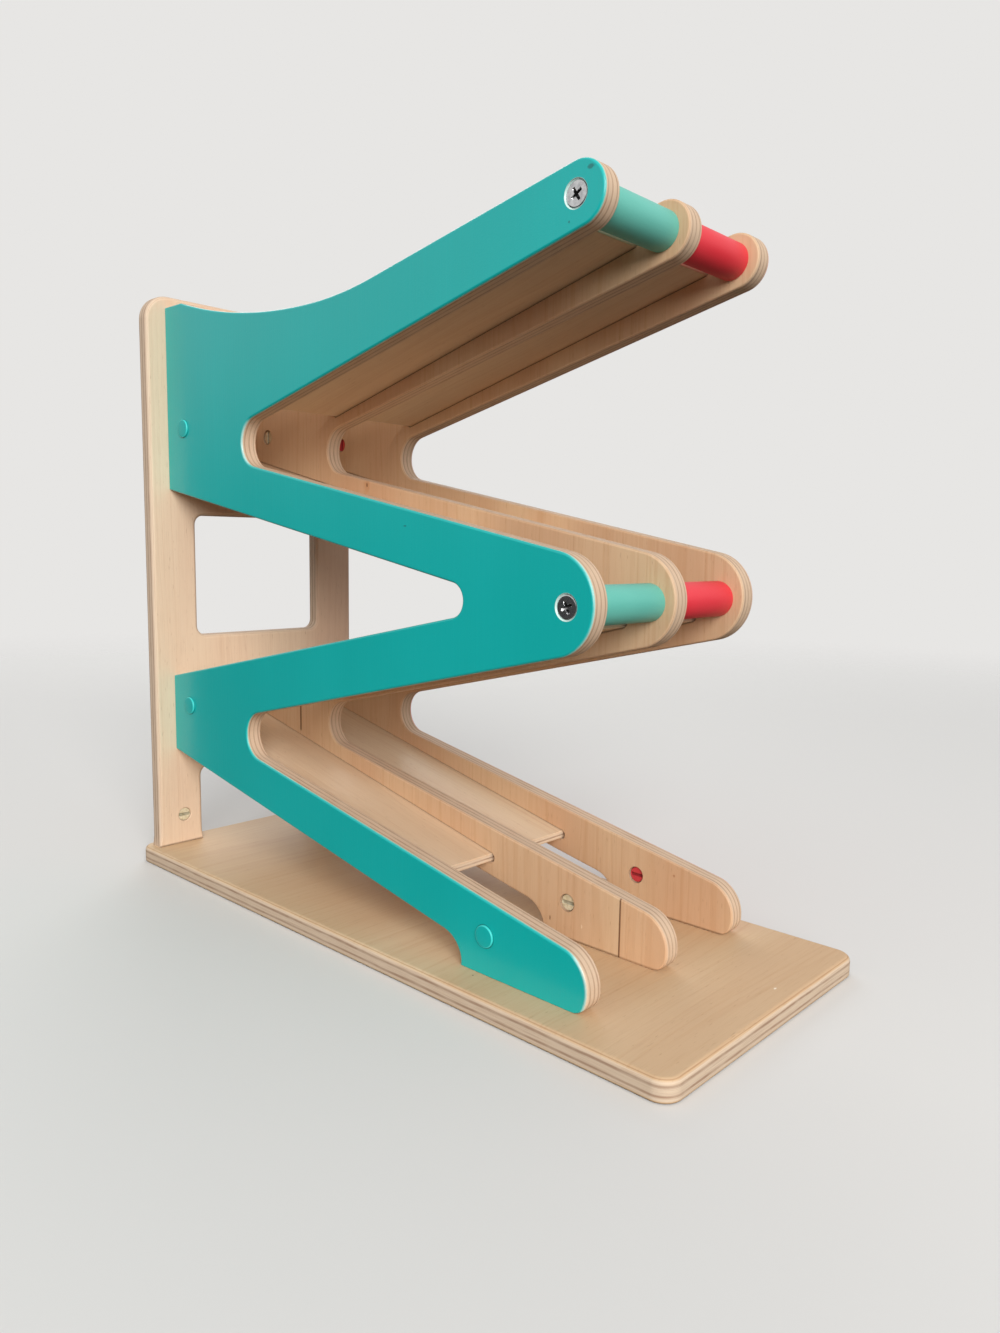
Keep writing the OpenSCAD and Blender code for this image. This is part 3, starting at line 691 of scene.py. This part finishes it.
def panelEdge(points, normals):  # full roundover, nearly square at the back panel and the base
    rise = np.clip((points[:, 1] - baseTop) / zigzag["fade"], 0, 1)
    butts = (normals[:, 0] < -0.9999) & (points[:, 0] < backFace + 1e-5)
    free = rise * rise * (3 - 2 * rise) * ~butts
    return zigzag["eased"] + (zigzag["roundover"] - zigzag["eased"]) * free


dowelX = middleOf("left_top_dowel")[0]
dowelZ = {spot: middleOf(f"left_{spot}_dowel")[2] for spot in ("top", "nose")}


# marks on the bare faces: each takes the wood's place and tone, then its own values, and gives the new tone
# a knot's ring and heart are (width, height, colour, strength)
woodMarks = {
    "onFace": (0.002, 0.003), "joint": "5E3419", "jointShade": 0.85, "jointEnds": 0.002,
    "frontSheet": "D9A981", "sheetEdge": 0.0002,
    "knotRing": (0.0022, 0.0045, "C08552", 0.4), "knotHeart": (0.0007, 0.0012, "6E4224", 0.8),
    # gap is the colour of the painted shade along the track grooves and round the nuts
    "gap": "3B2413", "nutShade": 0.6, "nutRing": (0.0003, 0.0007),
    "grooveShade": {"top": 0.6, "upper": 0.3, "lower": 0.3, "bottom": 0.3}, "grooveWide": 0.0006,
    # foot is the colour of the painted shade where a board stands on the base
    "foot": "5A3A22", "footShade": 0.55, "footBand": (0.0006, 0.0013),
}


def onFace(through):  # 1 near the face that looks to the left or up, 0 below it
    return through.ramp(*woodMarks["onFace"])


def seam(shade, along, across, through, tone, x, low, high, tint, wide):
    # a dark joint of two sheets of veneer, the one in front tinted
    ends, edge = woodMarks["jointEnds"], woodMarks["sheetEdge"]
    near = 1.0 - abs(across - x).ramp(wide * 0.4, wide)
    broken = shade.noise(along * 90.0, across * 40.0, 5.5, 2.0).ramp(0.05, 0.35)
    here = along.ramp(low - ends, low) * (1.0 - along.ramp(high, high + ends)) * onFace(through)
    tone = shade.mix((across - x).ramp(0.0, edge) * here * tint, tone, woodMarks["frontSheet"])
    return shade.mix(near * broken * here * woodMarks["jointShade"], tone, woodMarks["joint"])


def paintedGrooveShade(shade, along, across, through, tone, track, strength):
    # painted shade along the gap between a track and its groove
    x, z = across - float(track["middle"][0]), along - float(track["middle"][2])
    c, s = math.cos(track["slope"]), math.sin(track["slope"])
    off = abs(z * c - x * s) - (trackBoard["thick"] / 2 + trackBoard["gap"])
    run = abs(x * c + z * s) - (track["length"] / 2 + trackBoard["gap"])
    line = 1.0 - off.most(run).ramp(0.0, woodMarks["grooveWide"])
    return shade.mix(line * strength, tone, woodMarks["gap"])


def nutLine(shade, along, across, through, tone, x, z):  # shade in the gap round a nut
    far = farFrom(shade, along, across, x, z) - nutSize["radius"]
    near = 1.0 - far.ramp(*woodMarks["nutRing"])
    return shade.mix(near * woodMarks["nutShade"], tone, woodMarks["gap"])


def paintedFootShade(shade, along, across, through, tone):  # painted shade where a board stands on the base
    band = 1.0 - (along - float(baseTop)).ramp(*woodMarks["footBand"])
    return shade.mix(band * woodMarks["footShade"], tone, woodMarks["foot"])


def dent(shade, along, across, through, tone, x, z, wide, tall, colour, strength):
    # a small dark or pale mark
    mask = spotAt(shade, along, across, x, z, wide, tall) * onFace(through)
    return shade.mix(mask * strength, tone, colour)


def knot(shade, along, across, through, tone, x, z):  # a pin knot with the fibres running round it
    for look in (woodMarks["knotRing"], woodMarks["knotHeart"]):
        tone = dent(shade, along, across, through, tone, x, z, *look)
    return tone


# outer is the painted face, 1 to the left and -1 to the right; a wear is how far a round end is sanded bare
panelKinds = {
    "left_side_panel": {"finish": "tealFacePly", "slot": "teal_face_ply", "seed": 1.4, "outer": 1,
                        "paint": tealPaint, "marks": []},
    "middle_panel": {"finish": "barePanelPly", "slot": "birch_ply", "seed": 0.0, "outer": 0,
                     "marks": [(seam, 0.1113, 0.0, 0.065, 0.35, 0.0006),
                               (seam, -0.1218, 0.078, 0.135, 0.0, 0.001), (knot, -0.0604, 0.2177),
                               (dent, 0.0719, 0.0163, 0.0005, 0.0012, "7A4E2C", 0.7),
                               (dent, 0.0905, 0.0172, 0.0004, 0.0010, "F0D9B8", 0.6)]},
    "right_side_panel": {"finish": "coralFacePly", "slot": "coral_face_ply", "seed": 2.6, "outer": -1,
                         "paint": coralPaint,
                         "marks": [(dent, 0.1038, 0.0309, 0.0007, 0.0007, "A3663C", 0.6)]},
}
panelWear = {"brow": 0.0011, "nose": 0.0001, "mouth": 0.0006}


def makePanels():
    loop, z = zigzagLoop(), zigzag
    # painted shade along the grooves, round the nuts and at the feet
    gaps = [(paintedGrooveShade, tracks["left", name], dark) for name, dark in woodMarks["grooveShade"].items()]
    gaps += [(nutLine, *spot) for spot in panelNuts] + [(paintedFootShade,)]
    mouthX = backFace + z["mouthWall"] + z["mouth"]
    fitted = {
        "seats": [(dowelX, high) for high in dowelZ.values()],
        "caps": panelNuts,
        "wears": [(footX - z["brow"], baseTop + z["browHigh"], z["brow"], 1, panelWear["brow"]),
                  (frontX - z["nose"], baseTop + z["noseHigh"], z["nose"], 1, panelWear["nose"]),
                  (mouthX, baseTop + z["upperMouthHigh"], z["mouth"], -1, panelWear["mouth"])],
    }
    for node, kind in panelKinds.items():
        outer = kind["outer"]
        paint = {**kind["paint"], **fitted} if outer else None
        finish = plyFinish(kind["finish"], sideThick, z["plies"], panelVeneer, kind["seed"],
                           gaps + kind["marks"], paint, outer)
        holes = [nutHole(*spot, sideThick) for spot in panelNuts]
        for face in [-outer] if outer else [1, -1]:
            holes += [(slot, face, [(0, 0), (0, trackBoard["groove"])], False) for slot in grooveLoops()]
        if outer:
            holes += [countersink(dowelX, high, outer, screwSize) for high in dowelZ.values()]
        board(node, kind["slot"], [loop], sideThick, panelEdge, (0, panelY[node], 0),
              [(1, 0, 0), (0, 0, 1), (0, -1, 0)], finish, holes)


makePanels()
print("zig-zag panels made")


# back panel: window and arch between two rails
backBoard = {"corner": 0.014, "rail": 0.0276, "sill": 0.123, "window": 0.0695, "arch": 0.044,
             "openRound": 0.0055, "roundover": 0.0024, "eased": 0.0005, "fade": 0.003, "plies": 7,
             "seed": 0.7}


def backEdge(points, normals):  # nearly square where the legs stand on the base
    rise = np.clip((points[:, 1] - baseTop) / backBoard["fade"], 0, 1)
    return backBoard["eased"] + (backBoard["roundover"] - backBoard["eased"]) * rise


def makeBack():
    b = backBoard
    half, top, corner = backHigh[1], backHigh[2], b["corner"]
    openY, r = half - b["rail"], b["openRound"]
    archZ, sillZ = baseTop + b["arch"], baseTop + b["sill"]
    headZ = sillZ + b["window"]
    outline = belt([
        (-half, baseTop, 0), (-openY, baseTop, 0), (-openY + r, archZ - r, -r), (openY - r, archZ - r, -r),
        (openY, baseTop, 0), (half, baseTop, 0),
        (half - corner, top - corner, corner), (-half + corner, top - corner, corner),
    ])
    window = belt([(-openY + r, sillZ + r, -r), (-openY + r, headZ - r, -r),
                   (openY - r, headZ - r, -r), (openY - r, sillZ + r, -r)])
    thick = backHigh[0] - backLow[0]
    holes = [nutHole(side * legNutY, legNutZ, thick) for side in (-1, 1)]
    holes += [countersink(y, z, -1, boltSize) for y in panelY.values() for z in (upperNutZ, lowerNutZ)]
    finish = plyFinish("backPly", thick, b["plies"], backVeneer, b["seed"], [(paintedFootShade,)])
    board("back_panel", "birch_ply", [outline, window], thick, backEdge, (backX, 0, 0),
          [(0, 1, 0), (0, 0, 1), (1, 0, 0)], finish, holes)


makeBack()
print("back panel made")


# base board: grain runs across it, bolts go up into the feet and the legs
baseBoard = {"corner": 0.008, "roundover": 0.0024, "under": 0.35, "plies": 5, "seed": 4.1,
             "dents": [(0.0783, -0.0618, 0.0004, 0.0004, "4A3222", 0.8),
                       (0.1745, 0.0168, 0.0005, 0.0011, "FBEFDC", 0.8)]}
footSpots = [(footNutX, y) for y in panelY.values()]
legSpots = [(backX, side * legNutY) for side in (-1, 1)]


def baseEdge(points, normals):
    return np.full(len(points), baseBoard["roundover"])


def makeBase():
    b = baseBoard
    outline = oblong(baseHigh[0] - b["corner"], baseHigh[1] - b["corner"], b["corner"])
    thick = baseHigh[2] - baseLow[2]
    holes = [countersink(x, y, -1, boltSize) for x, y in footSpots + legSpots]
    dents = [(dent, *values) for values in b["dents"]]
    finish = plyFinish("basePly", thick, b["plies"], baseVeneer, b["seed"], dents)
    board("base_board", "birch_ply", [outline], thick, baseEdge, (0, 0, baseLow[2] + thick / 2),
          [(1, 0, 0), (0, 1, 0), (0, 0, 1)], finish, holes, under=b["under"])


makeBase()
print("base board made")


def trackEdge(points, normals):  # the ends are rounded, the long edges sit in the grooves
    ends = np.abs(normals[:, 0]) > 0.7
    return np.where(ends, trackBoard["endRound"], trackBoard["eased"])


def makeTracks():
    t = trackBoard
    finish = plyFinish("trackPly", t["thick"], t["plies"], trackVeneer, 0.0)
    for number, ((side, name), track) in enumerate(tracks.items()):
        outline = oblong(track["length"] / 2, track["wide"] / 2, 0)
        c, s = math.cos(track["slope"]), math.sin(track["slope"])
        shift = (t["grainFrom"] + number * t["grainAlong"], number * t["grainAcross"], 0)
        board(f"{side}_track_{name}", "track_ply", [outline], t["thick"], trackEdge, track["middle"],
              [(c, 0, s), (0, 1, 0), (-s, 0, c)], finish, arcSteps=4, grainOrder=(0, 1, 2), grainShift=shift)


makeTracks()
print("tracks made")


# turned pieces: a profile (reach, radius) carried round an axis, a recess pressed into its first end
def turned(profile, start, axis, steps, recess=None, wornAndHighlight=None):
    # point = start + axis * (reach + recess depth) + radius * (cos * side + sin * up), as one grid of arrays
    axis = np.array(axis, float)
    side = np.array((0, 0, 1.0)) if abs(axis[2]) < 0.9 else np.array((0, 1.0, 0))
    up = np.cross(axis, side)
    reach, radius = np.array(profile, float).T
    turn = circle(steps)
    x, y = radius[:, None] * np.cos(turn), radius[:, None] * np.sin(turn)
    sink = recess(x, y) * (reach[:, None] < 1e-6) if recess else 0 * x
    grid = np.array(start, float) + (reach[:, None] + sink)[:, :, None] * axis
    grid = grid + x[:, :, None] * side + y[:, :, None] * up
    depth = sink / max(sink.max(), 1e-9)
    if wornAndHighlight:  # paint is rubbed and given a painted highlight past this (reach, radius), marked by a depth below 0
        depth = depth - ((reach > wornAndHighlight[0]) & (radius > wornAndHighlight[1]))[:, None]
    return grid, depth


def lathe(node, slot, grids, finish, sharp=35):  # joins grids into one mesh, with a fan at each pole
    points, sinks, faces, count = [], [], [], 0
    for grid, sink in grids:
        tall, steps = grid.shape[:2]
        body = grid[1:-1].reshape(-1, 3)
        index = count + np.arange(len(body)).reshape(tall - 2, steps)
        after = np.roll(index, -1, 1)
        first, last = count + len(body), count + len(body) + 1
        quads = np.stack([index[:-1], after[:-1], after[1:], index[1:]], -1).reshape(-1, 4)
        start = np.stack([np.full(steps, first), after[0], index[0]], -1)
        end = np.stack([np.full(steps, last), index[-1], after[-1]], -1)
        faces += quads.tolist() + start.tolist() + end.tolist()
        points += [body, grid[:1, 0], grid[-1:, 0]]
        sinks += [sink[1:-1].ravel(), sink[:1, 0], sink[-1:, 0]]
        count += len(body) + 2
    mesh = place(node, slot, np.concatenate(points), faces, finish)
    mesh.attributes.new("sink", "FLOAT", "POINT").data.foreach_set("value", np.concatenate(sinks))
    mesh.set_sharp_from_angle(angle=math.radians(sharp))


def rounded(points, steps=5):  # profile corners (reach, radius, round) drawn as small arcs
    out = []
    for i, (x, y, r) in enumerate(points):
        if r == 0 or i in (0, len(points) - 1):
            out.append((x, y))
            continue
        here = np.array((x, y))
        before, after = (unit(np.array(points[k][:2]) - here) for k in (i - 1, i + 1))
        share = np.linspace(0, 1, steps + 1)[:, None]
        out += (here + r * ((1 - share) ** 2 * before + share ** 2 * after)).tolist()
    return out


# dowels in two colours, and the plain pins hidden in them and the middle panel
dowelWood = {"edge": 0.0004, "steps": 96}
mintDowel = {"body": "5FB5A5", "thin": "74C3B3", "sandedAndHighlight": "CDEDE4", "scuffAndShade": "2F5B52", "rough": 0.42}
coralDowel = {"body": "DE2C39", "thin": "E54852", "sandedAndHighlight": "F7CFC6", "scuffAndShade": "7A2A2C", "rough": 0.42}
pinWood = {"body": "D8B68C", "thin": "E4C9A4", "sandedAndHighlight": "F0DCC0", "scuffAndShade": "8A6842", "rough": 0.5}


def makeDowels():
    kinds = {"left_{}_dowel": (plainPaint("mintPaint", mintDowel), "mint_paint"),
             "right_{}_dowel": (plainPaint("coralPaint", coralDowel), "coral_paint"),
             "{}_dowel_pin": (plainPaint("pinWood", pinWood), "birch_ply")}
    edge = dowelWood["edge"]
    for pattern, (finish, slot) in kinds.items():
        for spot in dowelZ:
            node = pattern.format(spot)
            low, high = spanOf(node)
            radius, length = (high[2] - low[2]) / 2, high[1] - low[1]
            profile = rounded([(0, 0, 0), (0, radius, edge), (length, radius, edge), (length, 0, 0)])
            x, _, z = middleOf(node)
            lathe(node, slot, [turned(profile, (x, low[1], z), (0, 1, 0), dowelWood["steps"])], finish)


makeDowels()
print("dowels and pins made")


# recesses: depth as a function of the place on a head, with slightly sloping walls
recessWall = {"cross": 0.00022, "plain": 0.0002, "taper": 0.75}


def slope(value, width):
    return np.clip(value / width, 0, 1)


def crossRecess(blade, reach, deep, spin):  # two crossing blades turned by spin, shallower at their ends
    def sink(x, y):
        c, s = math.cos(spin), math.sin(spin)
        a, b = np.abs(c * x + s * y), np.abs(c * y - s * x)
        long, short = np.maximum(a, b), np.minimum(a, b)
        walls = slope(blade / 2 - short, recessWall["cross"])
        return deep * walls * slope(reach - long, reach * recessWall["taper"])
    return sink


def slotRecess(wide, deep, upright):
    def sink(x, y):
        return deep * slope(wide / 2 - np.abs(y if upright else x), recessWall["plain"])
    return sink


def hexRecess(flats, deep):
    def sink(x, y):
        turns = [k * math.pi / 3 for k in range(3)]
        far = np.max([np.abs(x * math.cos(turn) + y * math.sin(turn)) for turn in turns], 0)
        return deep * slope(flats / 2 - far, recessWall["plain"])
    return sink


def disc(radius, rows):  # rows of an end face from its middle to its rim
    return [(0.0, r) for r in np.linspace(0, radius, rows)]


# screws in the outer ends of the dowels, the spin in degrees
dowelScrew = {"blade": 0.0012, "cross": 0.0027, "deep": 0.0019, "rim": 0.0004, "into": 0.022, "steps": 160,
              "rows": 44, "spin": {"left_top": -33, "left_nose": -25, "right_top": 40, "right_nose": 8}}


def makeScrews():
    s = dowelScrew
    finish = metalFinish("screwZinc", screwZinc)
    head, shank, rim = screwSize["head"], screwSize["shank"], s["rim"]
    length = sideThick - screwSize["sunk"] + s["into"]
    profile = disc(head - rim, s["rows"])
    profile += [(rim * 0.3, head - rim * 0.25), (rim, head), (rim * 1.8, head - rim * 0.3),
                (screwSize["headHigh"], shank), (length - shank * 2, shank), (length, shank / 4), (length, 0)]
    for spot, spin in s["spin"].items():
        node = f"{spot}_screw"
        (_, low, _), (_, high, _) = spanOf(node)
        x, _, z = middleOf(node)
        y, inward = (low, 1) if spot.startswith("left") else (high, -1)
        cross = crossRecess(s["blade"], s["cross"], s["deep"], math.radians(spin))
        lathe(node, "screw_steel", [turned(profile, (x, y, z), (0, inward, 0), s["steps"], cross)], finish)


makeScrews()
print("screws made")


# barrel nuts: slotted at one end, a plain end or a wide painted cap, rubbed at its rim and given a painted
# highlight there, at the other
barrelNut = {"slot": 0.0017, "deep": 0.0012, "rim": 0.0004, "capRim": 0.0005, "steps": 96, "rows": 30,
             "litRubHigh": 0.00054, "litRubRim": 0.00045}
# the pale colour on the teal caps' rims is partly rubbed paint and partly a painted highlight
tealNut = {**tealPaint, "sandedAndHighlight": "52E3DA"}
# the coral nuts are painted darker than the panel's paint: painted shade
shadedCoralNut = {**coralPaint, "body": "C83A40", "thin": "D4484C"}


def nutProfile(length, capped):
    r, rim, cap = nutSize["radius"], barrelNut["rim"], nutSize["cap"]
    end = [(length, r, rim)]
    if capped:
        face = length - nutSize["capHigh"]
        end = [(face, r, 0), (face, cap, 0), (length, cap, barrelNut["capRim"])]
    corners = [(0, r - rim, 0), (0, r, rim)] + end + [(length, 0, 0)]
    return disc(r - rim, barrelNut["rows"]) + rounded(corners)[1:]


def makeNuts():
    n = barrelNut
    level, upright = (slotRecess(n["slot"], n["deep"], way) for way in (False, True))
    brass = metalFinish("paleBrass", paleBrass)
    groups = {
        "left_barrel_nuts": (plainPaint("tealNutPaint", tealNut), "teal_nut", -1, True),
        "middle_barrel_nuts": (brass, "plain_nut", 1, False),
        "right_barrel_nuts": (plainPaint("shadedCoralNutPaint", shadedCoralNut), "coral_nut", 1, True),
    }
    for node, (finish, slot, way, capped) in groups.items():
        low, high = spanOf(node)
        length = high[1] - low[1]
        slotted = low[1] if way > 0 else high[1]
        rubbedAndLit = (length - n["litRubHigh"], nutSize["cap"] - n["litRubRim"]) if capped else None
        grids = [turned(nutProfile(length, capped), (x, slotted, z), (0, way, 0), n["steps"],
                        upright if x == rearNutX else level, rubbedAndLit) for x, z in panelNuts]
        lathe(node, slot, grids, finish)
    profile = nutProfile(legNutHigh[0] - legNutLow[0], False)
    grids = [turned(profile, (legNutHigh[0], side * legNutY, legNutZ), (-1, 0, 0), n["steps"], level)
             for side in (-1, 1)]
    lathe("leg_barrel_nuts", "plain_nut", grids, brass)


makeNuts()
print("barrel nuts made")


# bolts behind the back panel and under the base
panelBolt = {"flats": 0.0026, "deep": 0.0018, "rim": 0.0002, "steps": 96, "rows": 30}


def makeBolts():
    b = panelBolt
    finish = metalFinish("boltZinc", boltZinc)
    socket = hexRecess(b["flats"], b["deep"])
    head, shank, rim = boltSize["head"], boltSize["shank"], b["rim"]
    rear, under = backBoltLow[0], spanOf("foot_bolts")[0][2]
    groups = {f"{side}_back_bolts": ((1, 0, 0), [(rear, y, z) for z in (upperNutZ, lowerNutZ)])
              for side, y in zip(("left", "middle", "right"), panelY.values())}
    groups["foot_bolts"] = ((0, 0, 1), [(x, y, under) for x, y in footSpots])
    groups["leg_bolts"] = ((0, 0, 1), [(x, y, under) for x, y in legSpots])
    for node, (axis, starts) in groups.items():
        low, high = spanOf(node)
        length = np.dot(high - low, axis)
        profile = disc(head - rim, b["rows"])
        profile += [(rim * 0.4, head - rim * 0.2), (rim, head), (boltSize["headHigh"], shank),
                    (length - shank / 4, shank), (length, shank * 0.75), (length, 0)]
        grids = [turned(profile, start, axis, b["steps"], socket) for start in starts]
        lathe(node, "bolt_steel", grids, finish)


makeBolts()
print("bolts made")


# studio: a pale floor that fades into a pale surround, soft light from above and behind the camera
# a lamp is (name, place, size, power)
studio = {
    "floor": "E2E0DC", "floorBounce": "463F37", "floorReach": 3.0, "floorDrop": 0.0002,
    "floorTurns": 96, "floorRings": 24, "floorRough": 0.8, "fadeFrom": 0.55, "fadeTo": 1.7,
    "sky": (0.95, 0.97, 1.0, 1.0), "seen": (0.80, 0.79, 0.775, 1.0), "skyLight": 0.52, "below": 0.12,
    "horizon": (-0.25, 0.25), "dim": 0.8, "glossPale": (0.05, 0.19), "aim": (0, 0, 0.15),
    "lamps": [("keyLamp", (2.45, -1.72, 1.38), 2.1, 110.0), ("rearLamp", (-1.3, 1.0, 1.2), 1.2, 8.0)],
}


def makeFloor():
    s = studio
    turn = circle(s["floorTurns"])
    reach = np.linspace(0, 1, s["floorRings"])[1:, None] ** 2 * s["floorReach"]
    flat = np.stack([reach * np.cos(turn), reach * np.sin(turn), 0 * reach * turn - s["floorDrop"]], -1)
    index = 1 + np.arange(flat.shape[0] * flat.shape[1]).reshape(flat.shape[:2])
    after = np.roll(index, -1, 1)
    faces = np.stack([index[:-1], index[1:], after[1:], after[:-1]], -1).reshape(-1, 4).tolist()
    faces += np.stack([0 * index[0], index[0], after[0]], -1).tolist()
    mesh = bpy.data.meshes.new("floor")
    mesh.from_pydata([(0, 0, -s["floorDrop"])] + flat.reshape(-1, 3).tolist(), [], faces)
    finish, shader, shade = newFinish("paleFloor")
    plug(shader, Base_Color=shade.mix(shade.ray("Camera"), s["floorBounce"], s["floor"]),
         Roughness=s["floorRough"], Alpha=1.0 - shade.spot().length().ramp(s["fadeFrom"], s["fadeTo"]))
    mesh.materials.append(finish)
    floor = put("floor", mesh)


def makeLight():
    s = studio
    for name, spot, size, power in s["lamps"]:
        lamp = bpy.data.lights.new(name, "AREA")
        lamp.shape = "DISK"
        lamp.size = size
        lamp.energy = power
        back = unit(np.array(spot) - np.array(s["aim"]))
        stand(put(name, lamp), spot, unit(np.cross((0, 0, 1), back)), back)
    world = bpy.data.worlds.new("studioAir")
    world.use_nodes = True
    bpy.context.scene.world = world
    shade = Shade(world.node_tree)
    seen, gloss, clear = (shade.ray(kind) for kind in ("Camera", "Glossy", "Transmission"))
    height = shade.axes(shade.node("ShaderNodeTexCoord", out="Generated"))[2]
    pale = seen.most(clear).most(gloss * height.ramp(*s["glossPale"]))
    light = (height.ramp(*s["horizon"]) * (1.0 - s["below"]) + s["below"]) * s["skyLight"]
    light = light * (1.0 - gloss * s["dim"])  # reflections are dark near the ground
    plug(world.node_tree.nodes["Background"], Color=shade.mix(pale, s["sky"], s["seen"]),
         Strength=pale * (1.0 - light) + light)


makeFloor()
makeLight()
bpy.context.scene.view_settings.view_transform = "Standard"
print("studio set")
